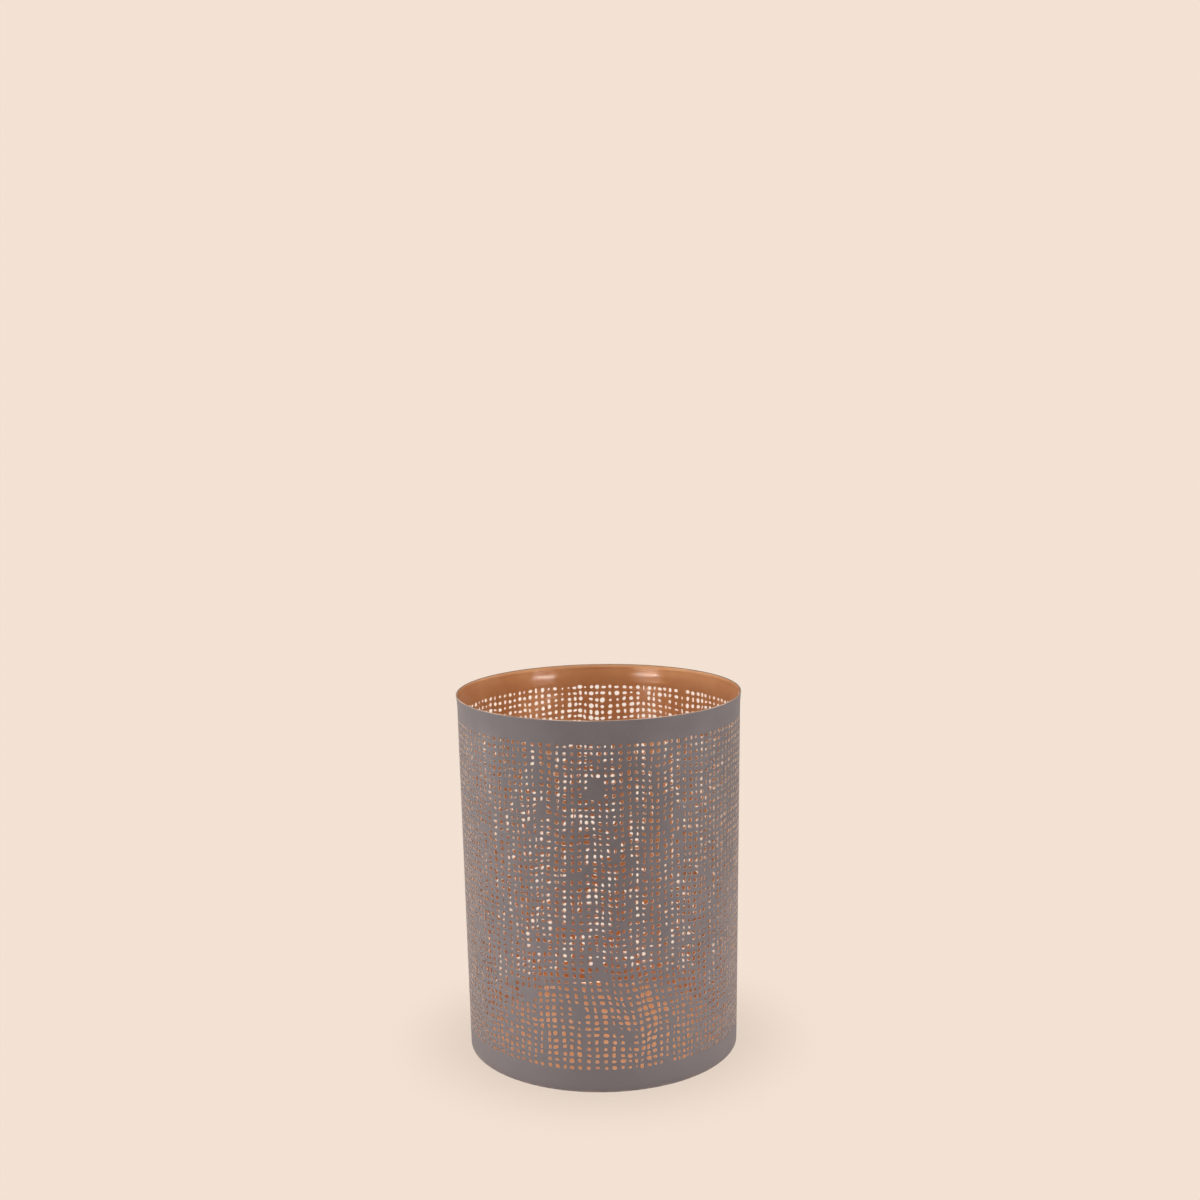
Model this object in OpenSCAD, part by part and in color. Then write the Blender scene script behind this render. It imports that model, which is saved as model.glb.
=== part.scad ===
/* [Body] */
// Outside diameter at the rim
rim_d = 102; // [80:1:130]
// Outside diameter at the foot
foot_d = 99; // [78:1:128]
// Height from the table to the top of the rim
height = 131.5; // [100:1:170]
// Thickness of the sheet metal
sheet_t = 0.5; // [0.4:0.1:1]
// Height of the sheet's fold-over along the rim
hem_h = 1.5; // [1.5:0.1:4]

/* [Openwork] */
// Height of the plain band above and below the holes
band_h = 7.7; // [4:0.1:15]
// Hole columns in a full turn, the plain strip at the seam included
hole_cols = 30; // [16:1:36]
// Hole rows between the two plain bands
hole_rows = 12; // [4:1:14]
// Share of the spacing that each hole takes
hole_share = 0.5; // [0.3:0.01:0.65]
// Columns left out for the plain strip at the seam
seam_cols = 1; // [1:1:3]

/* [Base] */
// Height of the base plate's underside above the table
base_lift = 0.5; // [0.2:0.1:2]
// Gap between the base plate's edge and the wall
base_gap = 0.15; // [0.1:0.05:0.4]
// Width and height of the solder fillet round the base plate
fillet_w = 1.4; // [0.8:0.1:3]

/* [Seam] */
// Width of the solder bead behind the seam
seam_w = 2.4; // [1.5:0.1:4]
// Thickness of the solder bead behind the seam
seam_t = 0.4; // [0.2:0.1:0.8]

/* [Hidden] */
$fn = 96;
rim_r = rim_d / 2;
foot_r = foot_d / 2;
hem_r = sheet_t;
floor_z = base_lift + sheet_t;
col_angle = 360 / hole_cols;
row_pitch = (height - 2 * band_h) / (hole_rows - 1 + hole_share);
hole_angle = col_angle * hole_share;
hole_h = row_pitch * hole_share;
reach_in = 0.9 * min(rim_r, foot_r);
reach_out = 1.1 * max(rim_r, foot_r);
// Outside and inside radius of the wall at a height
function outer_r(z) = foot_r + (rim_r - foot_r) * z / height;
function inner_r(z) = outer_r(z) - sheet_t;

// Section of the wall, with the sheet folded inwards along the rim
module wall_section() {
    fold_z = height - hem_r;
    polygon([
        [inner_r(0), 0],
        [outer_r(0), 0],
        [outer_r(fold_z), fold_z],
        [inner_r(fold_z) - sheet_t, fold_z],
        [inner_r(height - hem_h) - sheet_t, height - hem_h],
        [inner_r(height - hem_h), height - hem_h]
    ]);
    translate([outer_r(fold_z) - hem_r, fold_z]) circle(r = hem_r);
}

// Cutter for one hole, its sides pointing at the centre line
module hole_cutter() {
    corner = [cos(hole_angle / 2), sin(hole_angle / 2)];
    linear_extrude(height = hole_h)
        polygon([
            [corner.x, corner.y] * reach_in,
            [corner.x, corner.y] * reach_out,
            [corner.x, -corner.y] * reach_out,
            [corner.x, -corner.y] * reach_in
        ]);
}

// Rolled sheet with its openwork, hemmed at the rim
module perforated_shell() {
    first_col = (seam_cols + 1) / 2;
    color("dimgray")
    difference() {
        rotate_extrude() wall_section();
        for (col = [0 : hole_cols - seam_cols - 1], row = [0 : hole_rows - 1])
            rotate([0, 0, (first_col + col) * col_angle])
            translate([0, 0, band_h + row * row_pitch])
                hole_cutter();
    }
}

// Flat disc inside the foot of the wall
module base_plate() {
    color("peru")
    translate([0, 0, base_lift])
        cylinder(h = sheet_t, r = inner_r(base_lift) - base_gap);
}

// Solder bead behind the upright seam at +X
module seam_solder() {
    seam_angle = seam_w / foot_r * 180 / PI;
    low_z = floor_z + fillet_w;
    high_z = height - hem_h;
    color("sienna")
    rotate([0, 0, -seam_angle / 2])
    rotate_extrude(angle = seam_angle)
        polygon([
            [inner_r(low_z), low_z],
            [inner_r(high_z), high_z],
            [inner_r(high_z) - seam_t, high_z],
            [inner_r(low_z) - seam_t, low_z]
        ]);
}

// Solder fillet between the base plate and the wall
module base_solder() {
    color("sienna")
    rotate_extrude()
        polygon([
            [inner_r(floor_z), floor_z],
            [inner_r(floor_z + fillet_w), floor_z + fillet_w],
            [inner_r(floor_z) - fillet_w, floor_z]
        ]);
}

perforated_shell();
base_plate();
seam_solder();
base_solder();
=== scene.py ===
"""Candle lantern of pierced sheet metal: matte grey outside, satin copper inside, on a pale sweep.

Everything is in metres, in the frame of the CAD part: origin at the middle of the foot, +Z up.
A turn is an angle round the wall, 0 at the front (-Y) and growing to the right (+X).
"""
import math

import bpy
import numpy as np
from mathutils import Matrix, Vector


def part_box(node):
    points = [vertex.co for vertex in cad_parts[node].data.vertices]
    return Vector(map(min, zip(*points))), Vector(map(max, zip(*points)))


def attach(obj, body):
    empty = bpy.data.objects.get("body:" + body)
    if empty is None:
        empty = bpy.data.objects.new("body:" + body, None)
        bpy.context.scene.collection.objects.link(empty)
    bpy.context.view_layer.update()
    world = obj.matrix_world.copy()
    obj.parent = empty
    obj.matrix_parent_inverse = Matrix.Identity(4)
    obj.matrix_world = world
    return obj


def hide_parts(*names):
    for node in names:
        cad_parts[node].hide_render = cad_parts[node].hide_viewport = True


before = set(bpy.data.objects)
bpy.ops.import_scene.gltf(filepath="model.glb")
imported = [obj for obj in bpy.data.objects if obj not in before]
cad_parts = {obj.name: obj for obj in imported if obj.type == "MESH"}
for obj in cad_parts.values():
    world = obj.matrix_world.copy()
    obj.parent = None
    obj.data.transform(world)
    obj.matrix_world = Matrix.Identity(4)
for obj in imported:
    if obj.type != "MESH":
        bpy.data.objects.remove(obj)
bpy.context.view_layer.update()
MM = 0.001
DEG = math.pi / 180
FULL_TURN = 2 * math.pi

# The lantern's sizes, from the frame and the CAD part
SHELL_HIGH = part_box("perforated_shell")[1]
PLATE_LOW, PLATE_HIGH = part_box("base_plate")
FILLET_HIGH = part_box("base_solder")[1]
SEAM_LOW, SEAM_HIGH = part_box("seam_solder")
HEIGHT = SHELL_HIGH.z
RIM_R = min(SHELL_HIGH.x, SHELL_HIGH.y)
TAPER = 1.5 * MM
FOOT_R = RIM_R - TAPER
MEAN_R = (RIM_R + FOOT_R) / 2
SHEET = PLATE_HIGH.z - PLATE_LOW.z
FLOOR_Z = PLATE_HIGH.z
BAND = 7.7 * MM

# The rim: how far and over what height it curls out, the rings there, and the fold
CURL_OUT, CURL_H, CURL_POWER = 0.42 * MM, 7 * MM, 3
CURL_STOPS = 0.75, 0.62, 0.5, 0.4, 0.3
FOLD_R, FOLD_STEPS, FIRST_LIP_STEP = 0.58 * SHEET, 8, 2
# The folded-in hem: its height, then shares of that height and depths in sheets
HEM_H = 1.5 * MM
HEM_STOPS = (0.7, 1.15), (1, 1.13), (1.15, 1.03), (1.3, 1)
# Shares of the plain bands where rings lie, and the foot's eased edge
BAND_STOP, FOOT_STOPS, FOOT_EDGE = 0.87, (0.75, 0.3), 0.12 * MM

# The openwork: threads run between cells, and each cell has one hole
CELLS_ROUND = 126
CELLS_UP = 49
SEAM_TURN = math.pi / 2
SEAM_CELLS = 4
SEAM_GROOVE_W = 0.12 * MM
SEAM_GROOVE_D = 0.1 * MM
CELL_W = FULL_TURN * MEAN_R / CELLS_ROUND
CELL_H = (HEIGHT - 2 * BAND) / CELLS_UP
WEAVE_SEED, HOLE_SEED = 24, 41
THREAD_UPRIGHT, THREAD_LEVEL = 0.6 * MM, 0.545 * MM
HOLE_SPREAD, HOLE_JITTER, MOST_SPREAD = 0.155 * MM, 0.1 * MM, 1.7
LEAST_HOLE, LEAST_THREAD, MOST_THREAD = 0.45 * MM, 0.2 * MM, 1.4 * MM
INSIDE_GROWTH = 1.01
THREAD_CROWN = 0.05 * MM
STRETCH_TAKEN_UP = 0.42
CORNER_STEPS = 2
CORNER_SHARE = 0.47
# Where the weave lies straight: rows beside the bands, and an angle each side of the seam
CALM_ROWS, CALM_TURN, CALM_START = 4, 16 * DEG, 0.3


def outer_r(z):
    """Outside radius of the wall at a height. Its top few millimetres curl outwards."""
    curl = np.clip((z - HEIGHT) / CURL_H + 1, 0, 1) ** CURL_POWER
    return FOOT_R + (RIM_R - CURL_OUT - FOOT_R) * z / HEIGHT + CURL_OUT * curl


def round_axis(r, turn, z):
    """Points at a radius, turn and height, one row of three numbers for each."""
    return np.stack(np.broadcast_arrays(r * np.sin(turn), -r * np.cos(turn), z), -1)


def on_wall(turn, z, depth):
    """Points at a depth under the outside of the wall."""
    return round_axis(outer_r(z) - depth, turn, z)


def closed(numbers):
    """A ring's numbers with the first one again at the end."""
    return np.concatenate([numbers, numbers[:1]])


# Smooth random functions

LEAST_WAVE = 0.5


def wave_field(rng, count, turns, rises, power):
    """A smooth random function of turn and height, about 1 in spread, that closes round the wall."""
    n = rng.integers(turns[0], turns[1] + 1, count)
    k = rng.uniform(rises[0], rises[1], count) * rng.choice((-1, 1), count)
    phase = rng.uniform(0, FULL_TURN, count)
    size = rng.uniform(LEAST_WAVE, 1, count) / (n / turns[0]) ** power
    size = size / math.sqrt((size**2).sum() / 2)

    def field(turn, z):
        angle = turn[..., None] * n + z[..., None] * k + phase
        return (size * np.sin(angle)).sum(-1)

    return field


def line_noise(rng, lines, count, least, most):
    """For each of some lines, a smooth random function of the place along it, about 1 in spread."""
    k = rng.uniform(least, most, (lines, count))
    phase = rng.uniform(0, FULL_TURN, (lines, count))

    def noise(line, along):
        return np.sin(along[..., None] * k[line] + phase[line]).sum(-1) / math.sqrt(count / 2)

    return noise


def smoothstep(x):
    x = np.clip(x, 0, 1)
    return x * x * (3 - 2 * x)


def hump(x, half):
    """1 at 0, falling smoothly to 0 at twice the half width."""
    return smoothstep(1 - np.abs(x) / (2 * half))


def off_by(turn, degrees):
    """How far a turn is from an angle in degrees, in -pi to pi."""
    return (turn - degrees * DEG + math.pi) % FULL_TURN - math.pi


# Waves of the whole sheet: how many, turns, rises per metre, and how fast short ones fade
SWAY_WAVES = 14, (3, 16), (10, 60), 0.6
LIFT_WAVES = 14, (4, 22), (5, 45), 0.5
# Waves of each thread: how many, least and most per metre if upright, or per radian if level
UPRIGHT_WANDER, LEVEL_WANDER = (4, 60, 420), (5, 7, 40)
UPRIGHT_SWELL, LEVEL_SWELL = (4, 40, 500), (5, 6, 60)
# How far a thread is moved with the sheet, along itself and as a whole
SWAY_BY, UPRIGHT_WANDER_BY, UPRIGHT_OFF_BY = 0.36 * MM, 0.17 * MM, 0.07 * MM
LIFT_BY, LEVEL_WANDER_BY, LEVEL_OFF_BY = 0.34 * MM, 0.12 * MM, 0.06 * MM
# How far its half width differs as a whole and along itself
WIDTH_BY, SWELL_BY = 0.05 * MM, 0.06 * MM
# Where the weave swings to the right on its way down: degrees, then heights and distance
DRIFT_AT, DRIFT_HALF = 13, 22
DRIFT_HIGH, DRIFT_LOW, DRIFT_BY = 46 * MM, 20 * MM, 3.9 * MM
# Thick upright threads: degrees to the right of the front, low end, high end, added half width
THICK_HALF = 0.45 * CELL_W
THICK_THREADS = (
    (-25.2, 4 * MM, 22 * MM, 0.6 * MM),
    (-26.4, 84 * MM, 93 * MM, 0.45 * MM),
    (-24.0, 106 * MM, 114 * MM, 0.4 * MM),
    (22.9, 9 * MM, 28 * MM, 0.55 * MM),
    (39.6, 8 * MM, 18 * MM, 0.45 * MM),
    (33.0, 82 * MM, 96 * MM, 0.4 * MM),
    (-61.0, 30 * MM, 52 * MM, 0.4 * MM),
    (67.0, 60 * MM, 84 * MM, 0.4 * MM),
)
# Knots that close a few holes: degrees, height, half width in degrees, half height
KNOT_GROWTH, KNOT_REACH = 0.62 * MM, 1.5
KNOTS = (
    (-2.0, 108 * MM, 2.6, 2.4 * MM),
    (-1.5, 44 * MM, 3.0, 1.6 * MM),
    (2.5, 22 * MM, 1.4, 1.2 * MM),
    (-9.5, 29.5 * MM, 1.8, 1.0 * MM),
    (-31.0, 34 * MM, 2.4, 1.6 * MM),
    (-25.0, 98 * MM, 1.2, 2.6 * MM),
    (26.0, 92 * MM, 1.4, 2.2 * MM),
    (48.0, 73 * MM, 2.0, 1.4 * MM),
)
# Columns with larger holes: degrees, low end, high end, growth of each side. The last is at the back
BRIGHT_HALF, BRIGHT_LEVEL_SHARE = 0.7 * CELL_W, 0.6
BRIGHT_COLUMNS = (
    (-22.2, 11 * MM, 36 * MM, 0.14 * MM),
    (-13.6, 7 * MM, 24 * MM, 0.16 * MM),
    (15.5, 24 * MM, 46 * MM, 0.16 * MM),
    (17.8, 8 * MM, 34 * MM, 0.14 * MM),
    (178.5, 98 * MM, 124 * MM, 0.2 * MM),
)
COLUMN_END = 3 * MM


def between(z, low, high):
    """1 between two heights, falling smoothly to 0 past them."""
    return smoothstep((z - low) / COLUMN_END + 1) * smoothstep((high - z) / COLUMN_END + 1)


def make_weave():
    """Places the cells' corners and gives the threads' half widths there.

    Returns four arrays over (CELLS_ROUND + 1) x (CELLS_UP + 1) corners: turn, height, and the
    half widths of the upright and the level thread. The first and last columns meet at the seam.
    """
    rng = np.random.default_rng(WEAVE_SEED)
    column, row = np.meshgrid(np.arange(CELLS_ROUND + 1), np.arange(CELLS_UP + 1), indexing="ij")
    turn = SEAM_TURN - FULL_TURN + column * FULL_TURN / CELLS_ROUND
    z = BAND + row * CELL_H
    from_end = np.minimum(z - BAND, HEIGHT - BAND - z)
    free = smoothstep(from_end / (CALM_ROWS * CELL_H))
    off_seam = smoothstep(np.abs(off_by(turn, SEAM_TURN / DEG)) / CALM_TURN - CALM_START)

    sway = wave_field(rng, *SWAY_WAVES)
    lift = wave_field(rng, *LIFT_WAVES)
    upright_wander = line_noise(rng, CELLS_ROUND + 1, *UPRIGHT_WANDER)
    level_wander = line_noise(rng, CELLS_UP + 1, *LEVEL_WANDER)
    upright_swell = line_noise(rng, CELLS_ROUND + 1, *UPRIGHT_SWELL)
    level_swell = line_noise(rng, CELLS_UP + 1, *LEVEL_SWELL)
    upright_own = rng.normal(0, 1, CELLS_ROUND + 1)[column]
    level_own = rng.normal(0, 1, CELLS_UP + 1)[row]

    shift = SWAY_BY * sway(turn, z) + UPRIGHT_WANDER_BY * upright_wander(column, z)
    shift += UPRIGHT_OFF_BY * upright_own
    fall = smoothstep((DRIFT_HIGH - z) / (DRIFT_HIGH - DRIFT_LOW))
    shift += DRIFT_BY * fall * hump(off_by(turn, DRIFT_AT), DRIFT_HALF * DEG)
    rise = LIFT_BY * lift(turn, z) + LEVEL_WANDER_BY * level_wander(row, turn)
    rise += LEVEL_OFF_BY * level_own

    upright = THREAD_UPRIGHT + WIDTH_BY * upright_own + SWELL_BY * upright_swell(column, z)
    level = THREAD_LEVEL + WIDTH_BY * level_own + SWELL_BY * level_swell(row, turn)
    for degrees, low, high, growth in THICK_THREADS:
        upright += growth * between(z, low, high) * hump(off_by(turn, degrees) * MEAN_R, THICK_HALF)
    for degrees, height, half_turn, half_height in KNOTS:
        away = np.hypot(off_by(turn, degrees) / (half_turn * DEG), (z - height) / half_height)
        upright += KNOT_GROWTH * smoothstep(KNOT_REACH - away)
        level += KNOT_GROWTH * smoothstep(KNOT_REACH - away)
    for degrees, low, high, growth in BRIGHT_COLUMNS:
        near = between(z, low, high) * hump(off_by(turn, degrees) * MEAN_R, BRIGHT_HALF)
        upright -= growth * near
        level -= BRIGHT_LEVEL_SHARE * growth * near
    turn = turn + off_seam * shift / MEAN_R
    z = z + off_seam * free * rise
    upright += STRETCH_TAKEN_UP * (np.gradient(turn, axis=0) * MEAN_R - CELL_W)
    level += STRETCH_TAKEN_UP * (np.gradient(z, axis=1) - CELL_H)
    turn[1] = turn[0] + SEAM_GROOVE_W / MEAN_R
    turn[-2] = turn[-1] - SEAM_GROOVE_W / MEAN_R
    z[-1] = z[0]
    return turn, z, np.clip(upright, LEAST_THREAD, MOST_THREAD), np.clip(level, LEAST_THREAD, MOST_THREAD)


# Mesh building

MAP_NAME = "OFBake"
SMOOTH_UNDER = 50 * DEG
BEFORE_LAST, AFTER_FIRST = slice(0, -1), slice(1, None)


class Maker:
    """Gathers vertices, and faces with a material number and each corner's place on the map."""

    def __init__(self):
        self.points, self.faces, self.places, self.kinds = [], [], [], []

    def add(self, points):
        """Adds rows of points and returns their numbers, in the same arrangement."""
        flat = points.reshape(-1, 3)
        first = len(self.points)
        self.points.extend(map(tuple, flat.tolist()))
        return np.arange(first, first + len(flat)).reshape(points.shape[:-1])

    def fill(self, corners, kind):
        """Adds faces. Each of the three or four corners has like arrays of numbers and places."""
        numbers = np.stack([number.ravel() for number, _ in corners], -1).tolist()
        self.faces.extend(numbers)
        self.places.append(np.stack([place.reshape(-1, 2) for _, place in corners], 1).reshape(-1, 2))
        self.kinds.extend([kind] * len(numbers))

    def strip(self, low, high, kind, skip=None):
        """Joins two rows of numbers and places. skip is the corner that is double beside a tip."""
        corners = [(row, part) for row, part in zip((low, low, high, high), AROUND)]
        self.fill([(row[0][p], row[1][p]) for n, (row, p) in enumerate(corners) if n != skip], kind)

    def object(self, name, materials):
        mesh = bpy.data.meshes.new(name)
        mesh.from_pydata(self.points, [], self.faces)
        for material in materials:
            mesh.materials.append(material)
        mesh.polygons.foreach_set("material_index", self.kinds)
        layer = mesh.uv_layers.new(name=MAP_NAME)
        layer.data.foreach_set("uv", np.concatenate(self.places).astype(np.float32).ravel())
        mesh.shade_smooth()
        mesh.set_sharp_from_angle(angle=SMOOTH_UNDER)
        mesh.update()
        made = bpy.data.objects.new(name, mesh)
        bpy.context.scene.collection.objects.link(made)
        return made


AROUND = BEFORE_LAST, AFTER_FIRST, AFTER_FIRST, BEFORE_LAST
GREY, COPPER, CUT, LIP = 0, 1, 2, 3
# How far in towards its middle, on the map, a hole's own wall reaches
WALL_MAP_SHARE = 0.35


def shell_profile():
    """The section's plain stretches, from the openwork up over the hem and down, then round the foot.

    Each entry is (height, depth, material of the strip that ends there).
    """
    above_holes = HEIGHT - BAND_STOP * BAND
    curl = [HEIGHT - CURL_H * share for share in CURL_STOPS]
    outside = above_holes, *curl, HEIGHT - HEM_H + 0.5 * FOLD_R, HEIGHT - FOLD_R
    up = [(z, 0, GREY) for z in outside]
    for step in range(1, FOLD_STEPS + 1):
        angle = math.pi * step / FOLD_STEPS
        kind = GREY if step < FIRST_LIP_STEP else LIP if step < FOLD_STEPS else COPPER
        up.append((HEIGHT - FOLD_R + FOLD_R * math.sin(angle), FOLD_R - FOLD_R * math.cos(angle), kind))
    up += [(HEIGHT - share * HEM_H, sheets * SHEET, COPPER) for share, sheets in HEM_STOPS]
    up += [(z, SHEET, COPPER) for z in (*reversed(curl[:-1]), above_holes)]
    plain = [share * BAND for share in FOOT_STOPS]
    down = [(z, SHEET, COPPER) for z in (*plain, FOOT_EDGE)]
    down += [(0, SHEET - FOOT_EDGE, GREY), (0, FOOT_EDGE, GREY)]
    down += [(z, 0, GREY) for z in (FOOT_EDGE, *reversed(plain))]
    return up, down


def hole_corners(turn, z, upright, level):
    """The four corners of every cell's hole before rounding, as (cells, 4, 2) in metres along the wall.

    Each hole is a little larger or smaller than its threads leave it, and off their middle.
    """
    rng = np.random.default_rng(HOLE_SEED)
    own = np.clip(rng.normal(0, 1, (4, CELLS_ROUND, CELLS_UP)), -MOST_SPREAD, MOST_SPREAD)
    grown_x, grown_z = HOLE_SPREAD * own[0], HOLE_SPREAD * own[1]
    moved_x, moved_z = HOLE_JITTER * own[2], HOLE_JITTER * own[3]
    along, left, right = turn * MEAN_R, BEFORE_LAST, AFTER_FIRST
    sides = ((left, left, 1, 1), (right, left, -1, 1), (right, right, -1, -1), (left, right, 1, -1))
    corners = []
    for i, j, across, up in sides:
        inset_x = np.maximum(upright[i, j] - grown_x + across * moved_x, LEAST_THREAD)
        inset_z = np.maximum(level[i, j] - grown_z + up * moved_z, LEAST_THREAD)
        corners.append(np.stack([along[i, j] + across * inset_x, z[i, j] + up * inset_z], -1))
    return np.stack(corners, 2)


def rounded(corners, share, steps):
    """Rounds four-cornered outlines. Gives steps + 1 points at each corner, anticlockwise."""
    following = np.roll(corners, -1, -2) - corners
    before = np.roll(corners, 1, -2) - corners
    length_on = np.linalg.norm(following, axis=-1, keepdims=True)
    length_back = np.linalg.norm(before, axis=-1, keepdims=True)
    least = np.minimum(length_on, length_back).min(-2, keepdims=True)
    on, back = following / length_on, before / length_back
    radius = share * least
    points = []
    for step in range(steps + 1):
        angle = math.pi / 2 * step / steps
        points.append(corners + radius * (on + back - math.cos(angle) * on - math.sin(angle) * back))
    stacked = np.stack(points, -2)
    return stacked.reshape(*stacked.shape[:-3], -1, 2)


def travel(start, profile, end, first):
    """How far along the section each ring of a profile lies."""
    stops = [start, *[(h, d) for h, d, _ in profile], end]
    steps = [math.hypot(b[0] - a[0], b[1] - a[1]) for a, b in zip(stops, stops[1:])]
    return first + np.concatenate([[0], np.cumsum(steps)])


def cell_corners(i, j):
    """Places in the grid of some cells' corners, anticlockwise from the lower left."""
    return np.stack([i, i + 1, i + 1, i], -1), np.stack([j, j, j + 1, j + 1], -1)


def make_shell(materials):
    """The rolled sheet with every hole cut through it, hemmed at the rim."""
    turn, z, upright, level = make_weave()
    maker = Maker()
    up, down = shell_profile()
    turn_low = turn[0, 0]
    along_up = travel((HEIGHT - BAND, 0), up, (HEIGHT - BAND, SHEET), HEIGHT - 2 * BAND)
    along_down = travel((BAND, SHEET), down, (BAND, 0), along_up[-1] + HEIGHT - 2 * BAND)
    total = along_down[-1]

    def place(turn, height, inside):
        """Where a point of the openwork lies on the map."""
        along = along_up[-1] + HEIGHT - BAND - height if inside else height - BAND
        return np.stack([(turn - turn_low) / FULL_TURN, along / total], -1)

    groove = np.zeros(CELLS_ROUND)
    groove[0] = SEAM_GROOVE_D
    grids = []
    for depth in (0, SHEET):
        sunk = groove[:, None] if depth == 0 else 0
        grids.append(closed(maker.add(on_wall(turn[:-1], z[:-1], depth + sunk))))

    # Cells with and without a hole
    corners = hole_corners(turn, z, upright, level)
    outline = rounded(corners, CORNER_SHARE, CORNER_STEPS)
    width = (corners[:, :, 1, 0] - corners[:, :, 0, 0]), (corners[:, :, 2, 0] - corners[:, :, 3, 0])
    tall = (corners[:, :, 3, 1] - corners[:, :, 0, 1]), (corners[:, :, 2, 1] - corners[:, :, 1, 1])
    is_open = np.minimum(np.minimum(*width), np.minimum(*tall)) > LEAST_HOLE
    is_open[: SEAM_CELLS // 2] = False
    is_open[-(SEAM_CELLS // 2) :] = False
    i, j = np.argwhere(is_open).T
    cell = cell_corners(i, j)
    loop = outline[i, j]
    per_corner = CORNER_STEPS + 1
    count = 4 * per_corner
    middle = loop.mean(1, keepdims=True)
    wide = middle + INSIDE_GROWTH * (loop - middle)
    loops = [(points[..., 0] / MEAN_R, points[..., 1]) for points in (loop, wide)]
    rim_depths = THREAD_CROWN, SHEET - THREAD_CROWN
    rims = [maker.add(on_wall(*points, depth)) for points, depth in zip(loops, rim_depths)]
    for inside, grid, rim in zip((False, True), grids, rims):
        cell_place = place(turn[cell], z[cell], inside)
        rim_place = place(*loops[inside], inside)
        outer = [(grid[cell][:, k], cell_place[:, k]) for k in range(4)]
        inner = [(rim[:, k], rim_place[:, k]) for k in range(count)]
        for corner in range(4):
            after = (corner + 1) % 4
            first, last = corner * per_corner, corner * per_corner + CORNER_STEPS
            faces = [[outer[corner], outer[after], inner[after * per_corner], inner[last]]]
            faces += [[outer[corner], inner[k + 1], inner[k]] for k in range(first, last)]
            for face in faces:
                maker.fill(face[::-1] if inside else face, COPPER if inside else GREY)

    # The holes' own walls, which on the map lie inside the outer outline
    outer_place = place(*loops[0], False)
    middle = outer_place.mean(1, keepdims=True)
    deep_place = middle + WALL_MAP_SHARE * (outer_place - middle)
    near = [(rims[0][:, k], outer_place[:, k]) for k in range(count)]
    deep = [(rims[1][:, k], deep_place[:, k]) for k in range(count)]
    for k in range(count):
        on = (k + 1) % count
        maker.fill([near[k], near[on], deep[on], deep[k]], CUT)

    # Cells left whole
    cell = cell_corners(*np.argwhere(~is_open).T)
    for inside, grid in zip((False, True), grids):
        at, at_place = grid[cell], place(turn[cell], z[cell], inside)
        order = (3, 2, 1, 0) if inside else (0, 1, 2, 3)
        maker.fill([(at[:, k], at_place[:, k]) for k in order], COPPER if inside else GREY)

    # The plain bands, the hem and the foot, ring by ring
    def strips(profile, start, start_turn, end, along):
        """Rings along a profile between two rows. along gives each ring's place on the map."""
        rows, kinds = [start], []
        for height, depth, kind in profile:
            sunk = groove * (depth < 0.5 * SHEET)
            ring = on_wall(start_turn[:-1], np.full(CELLS_ROUND, height), depth + sunk)
            rows.append(closed(maker.add(ring)))
            kinds.append(kind)
        rows.append(end)
        kinds.append(kinds[-1])
        side = (start_turn - turn_low) / FULL_TURN
        marks = [np.stack([side, np.full(len(side), length / total)], -1) for length in along]
        for n, kind in enumerate(kinds):
            maker.strip((rows[n], marks[n]), (rows[n + 1], marks[n + 1]), kind)

    strips(up, grids[0][:, -1], turn[:, -1], grids[1][:, -1], along_up)
    strips(down, grids[1][:, 0], turn[:, 0], grids[0][:, 0], along_down)
    return maker.object("openwork_shell", materials)


def lathe(name, profile, kinds, materials, segments, ripple):
    """Turns a section of (radius, height) points round the centre line. A radius of 0 closes an end.

    kinds has a material number for each stretch. ripple moves points: it takes turn, the point's
    number and its radius and height, and returns a new radius and height.
    """
    maker = Maker()
    turn = np.linspace(0, FULL_TURN, segments + 1)
    steps = [math.dist(a, b) for a, b in zip(profile, profile[1:])]
    length = np.concatenate([[0], np.cumsum(steps)])
    rows = []
    for n, (radius, height) in enumerate(profile):
        if radius == 0:
            numbers = np.repeat(maker.add(np.array([[0.0, 0.0, height]])), segments + 1)
        else:
            r, z = ripple(turn[:-1], n, radius, height)
            numbers = closed(maker.add(round_axis(r, turn[:-1], z)))
        marks = np.stack([turn / FULL_TURN, np.full(segments + 1, length[n] / length[-1])], -1)
        rows.append((numbers, marks))
    for n, kind in enumerate(kinds):
        skip = 1 if profile[n][0] == 0 else 2 if profile[n + 1][0] == 0 else None
        maker.strip(rows[n], rows[n + 1], kind, skip)
    return maker.object(name, materials)


# The plate: how much its edge is eased, how far it sinks in the middle and how uneven it is
PLATE_EDGE, PLATE_DISH, PLATE_DENT, PLATE_DENT_W = 0.1 * MM, 0.15 * MM, 0.03 * MM, 9 * MM
PLATE_RINGS, PLATE_SEGMENTS = 12, 120


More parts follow.
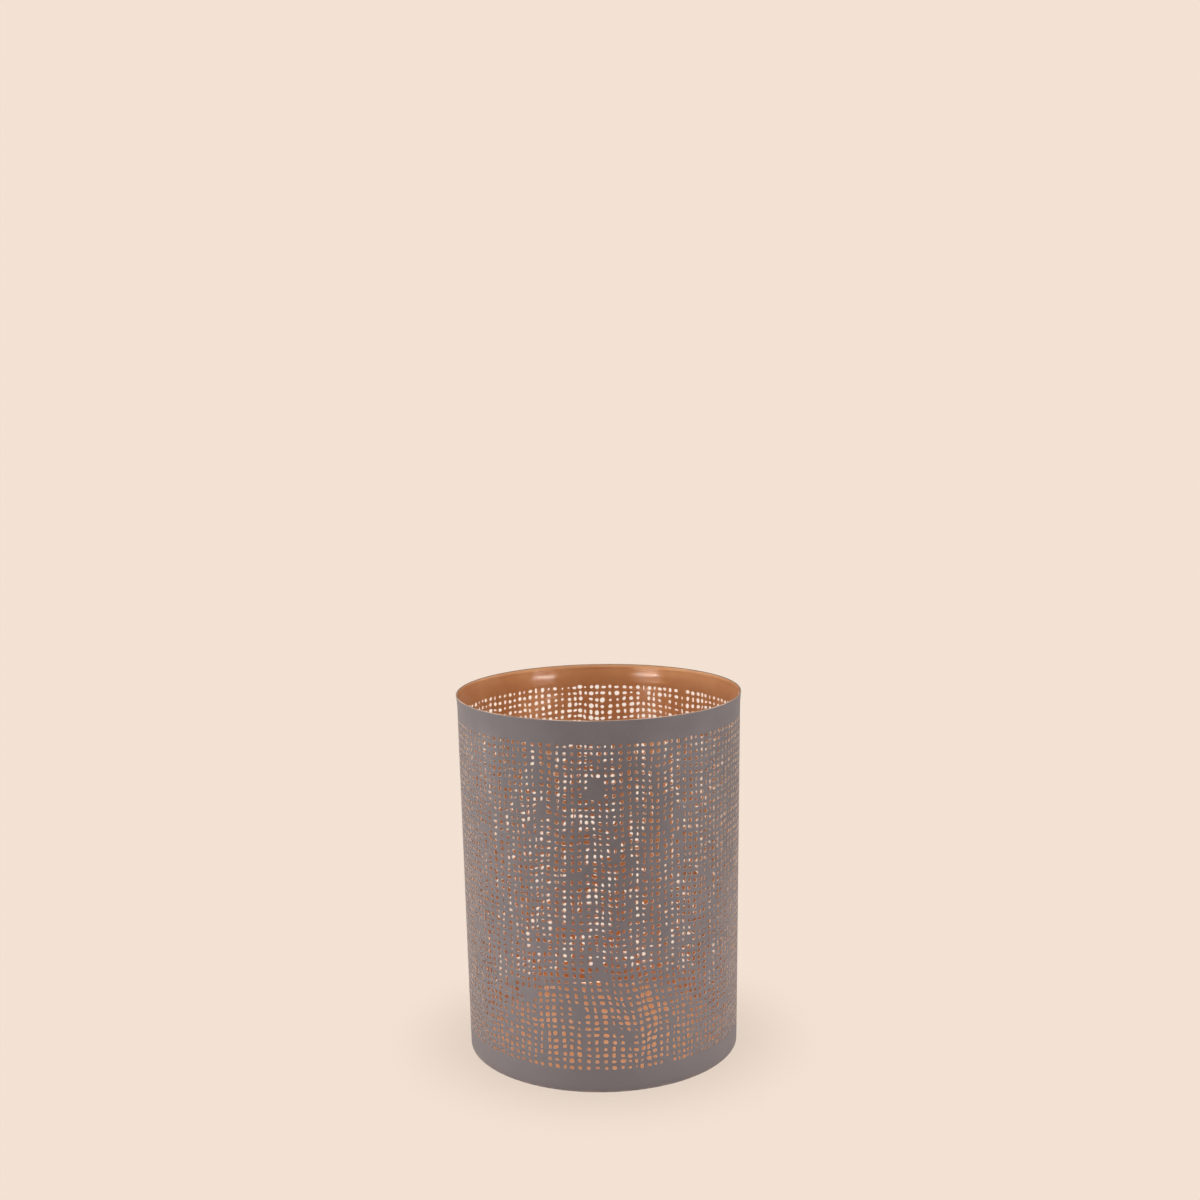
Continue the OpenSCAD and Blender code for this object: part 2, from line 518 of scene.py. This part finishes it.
def make_plate(materials):
    """The base plate: a flat disc with eased edges, very slightly dished."""
    radius, edge = PLATE_HIGH.x, PLATE_EDGE
    rings = [radius * k / PLATE_RINGS for k in range(1, PLATE_RINGS)]
    top, under = PLATE_HIGH.z, PLATE_LOW.z
    profile = [(0, under)] + [(r, under) for r in rings] + [(radius - edge, under), (radius, under + edge)]
    profile += [(radius, top - edge), (radius - edge, top)]
    profile += [(r, top) for r in reversed(rings)] + [(0, top)]
    stretches = len(profile) - 1
    lacquered_top, coated_under = 0, 1
    kinds = [coated_under] * (stretches // 2 + 1) + [lacquered_top] * (stretches - stretches // 2 - 1)
    profile = [(r, z - PLATE_DISH * (1 - (r / radius) ** 2)) for r, z in profile]

    def ripple(turn, n, r, z):
        """Two slow waves round the plate, never upwards."""
        waves = np.sin(2 * turn + 1) + np.sin(3 * turn + r / PLATE_DENT_W) - 2
        return r, z + PLATE_DENT * (1 - (r / radius) ** 2) * waves

    return lathe("floor_plate", profile, kinds, materials, PLATE_SEGMENTS, ripple)


# The fillet: points of its curve, numbers of the two that stay still, and its mean size
FILLET_POINTS, FILLET_STILL, FILLET_SHARE = 6, (6, 7), 0.9
# Its waves: how many, how many turns each makes, and their size
FILLET_WAVES, FILLET_TURNS, FILLET_UNEVEN = 10, (5, 60), 0.045
FILLET_SEED, FILLET_SEGMENTS = 5, 240


def make_fillet(materials):
    """The solder fillet between the plate and the wall: a hollow curve with uneven edges."""
    width = FILLET_HIGH.z - FLOOR_Z
    wall = outer_r(FLOOR_Z) - SHEET
    lean = (RIM_R - FOOT_R) / HEIGHT
    arc = [(1 - math.sin(a), 1 - math.cos(a)) for a in np.linspace(0, math.pi / 2, FILLET_POINTS)]
    profile = [(wall - width * out, FLOOR_Z + width * up) for out, up in arc]
    profile += [(wall + lean * width, FLOOR_Z + width), (wall, FLOOR_Z), profile[0]]
    rng = np.random.default_rng(FILLET_SEED)
    n, phase = rng.integers(*FILLET_TURNS, FILLET_WAVES), rng.uniform(0, FULL_TURN, FILLET_WAVES)

    def ripple(turn, k, r, z):
        if k in FILLET_STILL:
            return r, z
        uneven = FILLET_SHARE + FILLET_UNEVEN * np.sin(turn[:, None] * n + phase).sum(-1) / 2
        grown = np.minimum(uneven, 1)
        return wall + (r - wall) * grown, FLOOR_Z + (z - FLOOR_Z) * grown

    return lathe("base_fillet", profile[::-1], [0] * 8, materials, FILLET_SEGMENTS, ripple)


# The seam's bead: its most half width and thickness, and rows of points up and across
BEAD_HALF, BEAD_T = 1.2 * MM, 0.4 * MM
BEAD_STEPS, BEAD_ACROSS = 260, 9
# Its waves: how many and how fast, then mean shares of the width and thickness, and changes
BEAD_SEED, BEAD_WAVES, BEAD_RATES = 11, 8, (150, 2600)
BEAD_W_SHARE, BEAD_W_UNEVEN, BEAD_T_SHARE, BEAD_T_UNEVEN, BEAD_ROUND = 0.88, 0.24, 0.82, 0.3, 1.02
# On the map: the width of each side, where the back begins, and the edge's place and width
BEAD_MAP_W, BEAD_MAP_BACK, BEAD_MAP_EDGE, BEAD_MAP_EDGE_W = 0.45, 0.5, 0.96, 0.03


def make_seam(materials):
    """The solder bead behind the upright seam, crowned and rippled."""
    rng = np.random.default_rng(BEAD_SEED)
    steps, across = BEAD_STEPS, BEAD_ACROSS
    z = np.linspace(SEAM_LOW.z, SEAM_HIGH.z, steps)[:, None]
    side = np.linspace(-1, 1, across)[None, :]
    k, phase = rng.uniform(*BEAD_RATES, BEAD_WAVES), rng.uniform(0, FULL_TURN, BEAD_WAVES)
    uneven = np.sin(z * k + phase).sum(1, keepdims=True) / BEAD_WAVES
    half = (SEAM_HIGH.y - SEAM_LOW.y) / 2 * (BEAD_W_SHARE + BEAD_W_UNEVEN * uneven)
    crown = BEAD_T * (BEAD_T_SHARE + BEAD_T_UNEVEN * uneven) * np.sqrt(BEAD_ROUND - side**2)
    turn = SEAM_TURN + side * np.minimum(half, BEAD_HALF) / MEAN_R
    maker = Maker()
    front = maker.add(on_wall(turn, z, SHEET + np.minimum(crown, BEAD_T)))
    back = maker.add(on_wall(turn, z, SHEET))
    u, v = np.meshgrid(np.linspace(0, 1, across), np.linspace(0, 1, steps))
    quarters = list(zip((BEFORE_LAST, BEFORE_LAST, AFTER_FIRST, AFTER_FIRST), AROUND))

    def sheet_of(rows, order, low):
        marks = np.stack([u * BEAD_MAP_W + low, v], -1)
        maker.fill([(rows[part], marks[part]) for part in order], 0)

    sheet_of(front, quarters[::-1], 0)
    sheet_of(back, quarters, BEAD_MAP_BACK)
    loop = [(n, 0) for n in range(steps)] + [(steps - 1, m) for m in range(1, across)]
    loop += [(n, across - 1) for n in range(steps - 2, -1, -1)]
    loop += [(0, m) for m in range(across - 2, -1, -1)]
    edge = np.linspace(0, 1, len(loop))
    rows = []
    for m, sheet in enumerate((front, back)):
        marks = np.stack([np.full(len(loop), BEAD_MAP_EDGE + BEAD_MAP_EDGE_W * m), edge], -1)
        rows.append((np.array([sheet[p] for p in loop]), marks))
    maker.strip(*rows, 0)
    return maker.object("seam_bead", materials)


# Materials


def rgba(colour):
    """A written colour with its alpha, or a socket as it is."""
    return (*colour, 1) if isinstance(colour, tuple) else colour


class Shader:
    """Builds one material's nodes."""

    def __init__(self, name):
        self.material = bpy.data.materials.new(name)
        self.material.use_nodes = True
        self.tree = self.material.node_tree
        self.tree.nodes.clear()
        self.output = self.node("ShaderNodeOutputMaterial")
        self.position = self.node("ShaderNodeTexCoord").outputs["Object"]

    def node(self, kind, **settings):
        made = self.tree.nodes.new(kind)
        for key, value in settings.items():
            setattr(made, key, value)
        return made

    def link(self, source, target):
        if isinstance(source, bpy.types.NodeSocket):
            self.tree.links.new(source, target)
        else:
            target.default_value = source

    def math(self, operation, a, b=0.0):
        made = self.node("ShaderNodeMath", operation=operation)
        self.link(a, made.inputs[0])
        self.link(b, made.inputs[1])
        return made.outputs[0]

    def ramp(self, value, low, high, to_low=0.0, to_high=1.0):
        made = self.node("ShaderNodeMapRange", interpolation_type="SMOOTHSTEP")
        for socket, number in zip(made.inputs[:5], (value, low, high, to_low, to_high)):
            self.link(number, socket)
        return made.outputs[0]

    def noise(self, scale, detail, stretch=None):
        """Noise with features about 1 / scale metres across. stretch scales the three axes first."""
        where = self.position
        if stretch:
            mapping = self.node("ShaderNodeMapping")
            mapping.inputs["Scale"].default_value = stretch
            self.link(where, mapping.inputs["Vector"])
            where = mapping.outputs[0]
        made = self.node("ShaderNodeTexNoise")
        self.link(where, made.inputs["Vector"])
        made.inputs["Scale"].default_value = scale
        made.inputs["Detail"].default_value = detail
        return made.outputs["Fac"]

    def pattern(self, noise, used, becomes=(0.0, 1.0)):
        """Patches: a range of a noise's values, turned into another range."""
        return self.ramp(self.noise(*noise), *used, *becomes)

    def mix(self, factor, a, b):
        made = self.node("ShaderNodeMix", data_type="RGBA")
        self.link(factor, made.inputs[0])
        self.link(rgba(a), made.inputs[6])
        self.link(rgba(b), made.inputs[7])
        return made.outputs[2]

    def relief(self, noise, distance, strength, under=None):
        """Bump from a noise, on top of another bump if there is one."""
        made = self.node("ShaderNodeBump")
        self.link(self.noise(*noise), made.inputs["Height"])
        made.inputs["Distance"].default_value = distance
        made.inputs["Strength"].default_value = strength
        if under:
            self.link(under, made.inputs["Normal"])
        return made.outputs[0]

    def axes(self):
        split = self.node("ShaderNodeSeparateXYZ")
        self.link(self.position, split.inputs[0])
        return split.outputs

    def height(self):
        return self.axes()["Z"]

    def depth(self):
        """Depth under the outside of the wall's openwork, in sheet thicknesses."""
        x, y, z = self.axes()
        across = self.math("SQRT", self.math("ADD", *[self.math("POWER", side, 2.0) for side in (x, y)]))
        lean = (RIM_R - CURL_OUT - FOOT_R) / HEIGHT
        outside = self.math("ADD", self.math("MULTIPLY", z, lean), FOOT_R)
        return self.math("DIVIDE", self.math("SUBTRACT", outside, across), SHEET)

    def finish(self, colour, roughness, normal, metallic=0.0, **settings):
        surface = self.node("ShaderNodeBsdfPrincipled")
        self.link(rgba(colour), surface.inputs["Base Color"])
        self.link(roughness, surface.inputs["Roughness"])
        self.link(metallic, surface.inputs["Metallic"])
        if normal:
            self.link(normal, surface.inputs["Normal"])
        for key, value in settings.items():
            surface.inputs[key.replace("_", " ")].default_value = value
        self.link(surface.outputs[0], self.output.inputs["Surface"])
        return self.material


# Colours
GREY_DARK, GREY_LIGHT, GREY_FLECK = (0.114, 0.098, 0.104), (0.18, 0.157, 0.165), (0.21, 0.19, 0.19)
COPPER_DEEP, COPPER_PALE, COPPER_STREAK = (0.6, 0.275, 0.1), (0.685, 0.362, 0.16), (0.64, 0.32, 0.13)
# The plate's colours are the wall's copper made paler, as painted light for the light that falls on it from
# above.
PLATE_DEEP_LIT, PLATE_PALE_LIT = (0.82, 0.45, 0.23), (0.89, 0.53, 0.29)
# The third lip colour is a painted highlight along the lip's outer shoulder.
LIP_BROWN, LIP_PALE, LIP_PAINTED_HIGHLIGHT = (0.13, 0.08, 0.06), (0.2, 0.13, 0.1), (0.62, 0.47, 0.37)
SOLDER_DEEP, SOLDER_PALE = (0.54, 0.33, 0.2), (0.76, 0.5, 0.33)
# The pale tone of the holes' cut walls is painted light, for the light those walls catch.
CUT_WALL_PAINTED_LIGHT = (0.88, 0.705, 0.585)
BARE_EDGE = (0.42, 0.3, 0.24)
# Patterns: a noise's scale, detail and stretch, the range used, and what it becomes if not 0 to 1
GREY_CLOUDS = (34, 4), (0.35, 0.68), (0.0, 0.4)
GREY_SPECKS = (1700, 2), (0.62, 0.75), (0.0, 0.35)
GREY_ROUGHNESS = (90, 3), (0.3, 0.7), (0.6, 0.68)
FOOT_SCUFFS = (420, 3), (0.45, 0.6)
COPPER_CLOUDS = (46, 5), (0.3, 0.7)
COPPER_STREAKS = (60, 4, (1, 1, 9)), (0.5, 0.75), (0.0, 0.3)
COPPER_ROUGHNESS = (70, 4), (0.3, 0.7), (0.37, 0.45)
PLATE_CLOUDS = (60, 5), (0.3, 0.7)
PLATE_ROUGHNESS = (90, 4), (0.3, 0.7), (0.45, 0.55)
CUT_WANDER = (1200, 2), (0.3, 0.7), (-0.15, 0.15)
CUT_SPRAY = (900, 3), (0.3, 0.7)
LIP_CLOUDS = (160, 3), (0.35, 0.7)
# Next: the patches where the lip's painted highlight shows.
LIP_HIGHLIGHT_PATCHES = (45, 3), (0.35, 0.65), (0.35, 1.0)
SOLDER_CLOUDS = (300, 4), (0.35, 0.65)
PAPER_CLOUDS = (3.5, 2), (0.3, 0.7)
# Reliefs: a noise's scale, detail and stretch, the bump's height and its strength
GREY_GRAIN, GREY_PEEL = ((1500, 2), 0.02 * MM, 0.5), ((330, 2), 0.05 * MM, 0.35)
COPPER_LINES, COPPER_DENTS = ((900, 3, (1, 1, 0.08)), 0.015 * MM, 0.4), ((130, 2), 0.12 * MM, 0.6)
SOLDER_DENTS = (700, 3), 0.06 * MM, 0.6
# Plain values
GREY_METALLIC, COPPER_METALLIC, PLATE_METALLIC, LIP_METALLIC, SOLDER_METALLIC = 0.05, 0.6, 0.35, 0.5, 1.0
CUT_ROUGHNESS, LIP_ROUGHNESS, SOLDER_ROUGHNESS, PAPER_ROUGHNESS = 0.5, 0.48, 0.4, 0.85
# Ranges of height or depth, and what they become if not 0 to 1
# Painted light: the grey is made paler towards the foot, standing in for light bounced up from the floor.
GREY_PAINTED_BOUNCE_BELOW = (0, 0.95 * HEIGHT), (0.95, 0.0)
FOOT_WORN = (0.15 * MM, 0.9 * MM), (0.5, 0.0)
SPRAY_IN, COPPER_IN, LIP_SHOULDER = (0.3, -0.1), (0.75, 1.0), (0.62, 0.42)


def grey_colour(shader):
    # Painted light: on top of its random clouds, the grey pales towards the foot as if lit by the floor
    # below.
    used, becomes = GREY_PAINTED_BOUNCE_BELOW
    painted_bounce_below = shader.ramp(shader.height(), *used, *becomes)
    share = shader.math("ADD", shader.pattern(*GREY_CLOUDS), painted_bounce_below)
    return shader.mix(shader.pattern(*GREY_SPECKS), shader.mix(share, GREY_DARK, GREY_LIGHT), GREY_FLECK)


def grey_relief(shader):
    return shader.relief(*GREY_GRAIN, shader.relief(*GREY_PEEL))


def copper_colour(shader):
    base = shader.mix(shader.pattern(*COPPER_CLOUDS), COPPER_DEEP, COPPER_PALE)
    return shader.mix(shader.pattern(*COPPER_STREAKS), base, COPPER_STREAK)


def copper_relief(shader):
    return shader.relief(*COPPER_LINES, shader.relief(*COPPER_DENTS))


def grey_coat():
    """The matte coat outside, scuffed to bare metal along the foot."""
    shader = Shader("grey_coat")
    used, becomes = FOOT_WORN
    wear_and_highlight = shader.ramp(shader.height(), *used, *becomes)
    scuff = shader.math("MULTIPLY", wear_and_highlight, shader.pattern(*FOOT_SCUFFS))
    colour = shader.mix(scuff, grey_colour(shader), BARE_EDGE)
    return shader.finish(colour, shader.pattern(*GREY_ROUGHNESS), grey_relief(shader), GREY_METALLIC)


def copper_inside():
    """The satin lacquer inside, under a clear coat."""
    shader = Shader("copper_inside")
    return shader.finish(
        copper_colour(shader), shader.pattern(*COPPER_ROUGHNESS), copper_relief(shader), COPPER_METALLIC,
        Coat_Weight=1.0, Coat_Roughness=0.16, Coat_IOR=1.7,
    )


def floor_copper():
    """The plate's lacquer, duller than the wall's, and painted paler for the light that falls on it through
    the open top.
    """
    shader = Shader("floor_copper")
    colour = shader.mix(shader.pattern(*PLATE_CLOUDS), PLATE_DEEP_LIT, PLATE_PALE_LIT)
    return shader.finish(colour, shader.pattern(*PLATE_ROUGHNESS), copper_relief(shader), PLATE_METALLIC)


def hole_wall():
    """The holes' cut walls: grey spray at the outer edge, then a pale tone painted in for the light the cut
    walls catch, then copper at the inner edge.
    """
    shader = Shader("hole_wall")
    depth = shader.math("ADD", shader.depth(), shader.pattern(*CUT_WANDER))
    sprayed = shader.math("MULTIPLY", shader.ramp(depth, *SPRAY_IN), shader.pattern(*CUT_SPRAY))
    cut = shader.mix(sprayed, CUT_WALL_PAINTED_LIGHT, grey_colour(shader))
    inner = shader.ramp(depth, *COPPER_IN)
    colour = shader.mix(inner, cut, copper_colour(shader))
    metallic = shader.math("MULTIPLY", inner, COPPER_METALLIC)
    return shader.finish(colour, CUT_ROUGHNESS, grey_relief(shader), metallic)


def rim_lip():
    """The fold along the rim: brown on top, with a pale highlight painted in patches on its outer shoulder.
    """
    shader = Shader("rim_lip")
    brown = shader.mix(shader.pattern(*LIP_CLOUDS), LIP_BROWN, LIP_PALE)
    # The painted highlight lies on the outer shoulder, between these depths, in noise patches.
    curl = CURL_OUT / SHEET
    shoulder = shader.ramp(shader.depth(), *[depth - curl for depth in LIP_SHOULDER])
    wear_and_highlight = shader.math("MULTIPLY", shoulder, shader.pattern(*LIP_HIGHLIGHT_PATCHES))
    colour = shader.mix(wear_and_highlight, brown, LIP_PAINTED_HIGHLIGHT)
    return shader.finish(colour, LIP_ROUGHNESS, grey_relief(shader), LIP_METALLIC)


def solder():
    """Copper lacquer over solder."""
    shader = Shader("solder_lacquer")
    colour = shader.mix(shader.pattern(*SOLDER_CLOUDS), SOLDER_DEEP, SOLDER_PALE)
    return shader.finish(colour, SOLDER_ROUGHNESS, shader.relief(*SOLDER_DENTS), SOLDER_METALLIC)


# Stage, lights and camera

PAPER, PAPER_SHADE = (0.95, 0.825, 0.725), 0.985
FAR_PAPER = (0.896, 0.760, 0.651)
FAR_FROM, FAR_TO, NEAR_SHARE = 0.045, 0.088, 0.71
SWEEP_HALF_W, SWEEP_FRONT, SWEEP_BACK, SWEEP_TOP = 1.8, -1.6, 1.1, 1.7
SWEEP_BEND, SWEEP_STEPS = 0.55, 24
MIRRORED_RAYS = "Is Glossy Ray", "Is Transmission Ray"


def make_sweep():
    """The paper that the lantern stands on, which curves up behind it.

    The camera sees it in an even tone, but near the lantern partly as it is lit, for the shadow.
    """
    section = [(SWEEP_FRONT, 0.0)]
    for step in range(SWEEP_STEPS + 1):
        angle = math.pi / 2 * step / SWEEP_STEPS
        section.append((SWEEP_BACK - SWEEP_BEND * (1 - math.sin(angle)), SWEEP_BEND * (1 - math.cos(angle))))
    section.append((SWEEP_BACK, SWEEP_TOP))
    points = [(x, y, z) for y, z in section for x in (-SWEEP_HALF_W, SWEEP_HALF_W)]
    faces = [(2 * n, 2 * n + 1, 2 * n + 3, 2 * n + 2) for n in range(len(section) - 1)]
    mesh = bpy.data.meshes.new("sweep")
    mesh.from_pydata(points, [], faces)
    mesh.shade_smooth()
    sweep = bpy.data.objects.new("sweep", mesh)
    bpy.context.scene.collection.objects.link(sweep)
    shader = Shader("paper")
    colour = shader.mix(shader.pattern(*PAPER_CLOUDS), tuple(PAPER_SHADE * c for c in PAPER), PAPER)
    material = shader.finish(colour, PAPER_ROUGHNESS, None, Specular_IOR_Level=0.1)
    lit = shader.output.inputs["Surface"].links[0].from_socket
    even = shader.node("ShaderNodeEmission")
    even.inputs["Color"].default_value = (*FAR_PAPER, 1)
    distance = shader.node("ShaderNodeVectorMath", operation="LENGTH")
    shader.link(shader.position, distance.inputs[0])
    rays = shader.node("ShaderNodeLightPath").outputs
    far = shader.ramp(distance.outputs["Value"], FAR_FROM, FAR_TO, NEAR_SHARE, 1.0)
    seen = shader.math("MULTIPLY", rays["Is Camera Ray"], far)
    for mirrored in MIRRORED_RAYS:
        seen = shader.math("MAXIMUM", seen, rays[mirrored])
    blend = shader.node("ShaderNodeMixShader")
    for source, socket in zip((seen, lit, even.outputs[0]), blend.inputs):
        shader.link(source, socket)
    shader.link(blend.outputs[0], shader.output.inputs["Surface"])
    mesh.materials.append(material)


def add_lamp(name, turn, distance, height, size, power):
    """A soft lamp at a turn from the front, facing the lantern."""
    data = bpy.data.lights.new(name, "AREA")
    data.shape, data.size, data.size_y, data.energy = "RECTANGLE", *size, power
    lamp = bpy.data.objects.new(name, data)
    lamp.location = (distance * math.sin(turn), -distance * math.cos(turn), height)
    aim = Vector((0, 0, HEIGHT / 2)) - lamp.location
    lamp.rotation_mode = "QUATERNION"
    lamp.rotation_quaternion = aim.to_track_quat("-Z", "Y")
    lamp.visible_camera = False
    bpy.context.scene.collection.objects.link(lamp)


# The room's light: straight ahead, elsewhere, what both sides add, and how the right differs
WORLD_COLOUR = (1.0, 0.985, 0.965)
WORLD_FRONT, WORLD_AROUND, WORLD_SIDES, WORLD_RIGHT = 0.032, 0.16, 19.2, -3.2
# Where the dim front ends and begins, how narrow the sides are and how high they reach
FRONT_RANGE, SIDES_POWER, SIDES_UP_TO = (-0.97, -0.3), 7.0, 0.2
TOP_DISTANCE, TOP_HEIGHT, TOP_SIZE, TOP_POWER = 0.02, 0.75, (0.3, 0.3), 2.15
LAMP_DISTANCE, LAMP_HEIGHT, LAMP_SIZE = 0.6, 0.06, (0.22, 0.012)
LAMPS = (("lamp_left", -45 * DEG, 0.82), ("lamp_right", 50 * DEG, 0.88))


def make_lights():
    """An even pale room, dimmer in front and brighter low on both sides, and three soft lamps.

    Two low lamps in front give the inner band its highlights, and one hangs above.
    """
    world = bpy.data.worlds.new("studio")
    world.use_nodes = True
    nodes, links = world.node_tree.nodes, world.node_tree.links

    def number(kind, *values, **settings):
        made = nodes.new(kind)
        for key, value in settings.items():
            setattr(made, key, value)
        for socket, value in zip(made.inputs, values):
            if isinstance(value, bpy.types.NodeSocket):
                links.new(value, socket)
            else:
                socket.default_value = value
        return made.outputs[0]

    split = nodes.new("ShaderNodeSeparateXYZ")
    links.new(nodes.new("ShaderNodeTexCoord").outputs["Generated"], split.inputs[0])
    ahead = number(
        "ShaderNodeMapRange", split.outputs["Y"], *FRONT_RANGE, WORLD_FRONT, WORLD_AROUND,
        interpolation_type="SMOOTHSTEP",
    )
    right = number("ShaderNodeMath", split.outputs["X"], SIDES_POWER, operation="POWER")
    sideways = number("ShaderNodeMath", right, operation="ABSOLUTE")
    sideways = number("ShaderNodeMath", sideways, WORLD_SIDES, operation="MULTIPLY")
    sideways = number("ShaderNodeMath", right, WORLD_RIGHT, sideways, operation="MULTIPLY_ADD")
    low = number("ShaderNodeMapRange", split.outputs["Z"], 0.0, SIDES_UP_TO, 1.0, 0.0)
    strength = number("ShaderNodeMath", sideways, low, ahead, operation="MULTIPLY_ADD")
    background = nodes["Background"]
    background.inputs["Color"].default_value = (*WORLD_COLOUR, 1)
    links.new(strength, background.inputs["Strength"])
    room = nodes.new("ShaderNodeBackground")
    room.inputs["Color"].default_value = (*FAR_PAPER, 1)
    rays = nodes.new("ShaderNodeLightPath").outputs
    seen = rays["Is Camera Ray"]
    for mirrored in MIRRORED_RAYS:
        seen = number("ShaderNodeMath", seen, rays[mirrored], operation="MAXIMUM")
    blend = number("ShaderNodeMixShader", seen, background.outputs[0], room.outputs[0])
    links.new(blend, nodes["World Output"].inputs["Surface"])
    bpy.context.scene.world = world
    for name, turn, power in LAMPS:
        add_lamp(name, turn, LAMP_DISTANCE, LAMP_HEIGHT, LAMP_SIZE, power)
    add_lamp("lamp_top", 0, TOP_DISTANCE, TOP_HEIGHT, TOP_SIZE, TOP_POWER)


CAMERA_Y, CAMERA_Z = -0.5596, 0.2448
CAMERA_PITCH, CAMERA_YAW, CAMERA_ROLL = 11.81 * DEG, 0.05 * DEG, -0.9 * DEG
CAMERA_LENS, CAMERA_SHIFT_Y, CAMERA_NEAR = 47.85, 0.0833, 0.01


def make_camera():
    data = bpy.data.cameras.new("camera")
    data.lens, data.shift_y, data.clip_start = CAMERA_LENS, CAMERA_SHIFT_Y, CAMERA_NEAR
    camera = bpy.data.objects.new("camera", data)
    level = math.cos(CAMERA_PITCH)
    ahead = Vector((math.sin(CAMERA_YAW) * level, math.cos(CAMERA_YAW) * level, -math.sin(CAMERA_PITCH)))
    right = Vector((math.cos(CAMERA_YAW), -math.sin(CAMERA_YAW), 0))
    above = right.cross(ahead)
    rolled = right * math.cos(CAMERA_ROLL) + above * math.sin(CAMERA_ROLL)
    upright = above * math.cos(CAMERA_ROLL) - right * math.sin(CAMERA_ROLL)
    turned = Matrix((rolled, upright, -ahead)).transposed()
    camera.matrix_world = Matrix.Translation((0, CAMERA_Y, CAMERA_Z)) @ turned.to_4x4()
    bpy.context.scene.collection.objects.link(camera)
    bpy.context.scene.camera = camera


grey, copper = grey_coat(), copper_inside()
lacquered = solder()
shell = make_shell([grey, copper, hole_wall(), rim_lip()])
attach(shell, "root")
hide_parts("perforated_shell")
plate = make_plate([floor_copper(), grey])
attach(plate, "root")
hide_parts("base_plate")
fillet = make_fillet([lacquered])
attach(fillet, "root")
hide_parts("base_solder")
seam = make_seam([lacquered])
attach(seam, "root")
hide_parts("seam_solder")

make_sweep()
make_lights()
make_camera()
bpy.context.scene.view_settings.view_transform = "Standard"
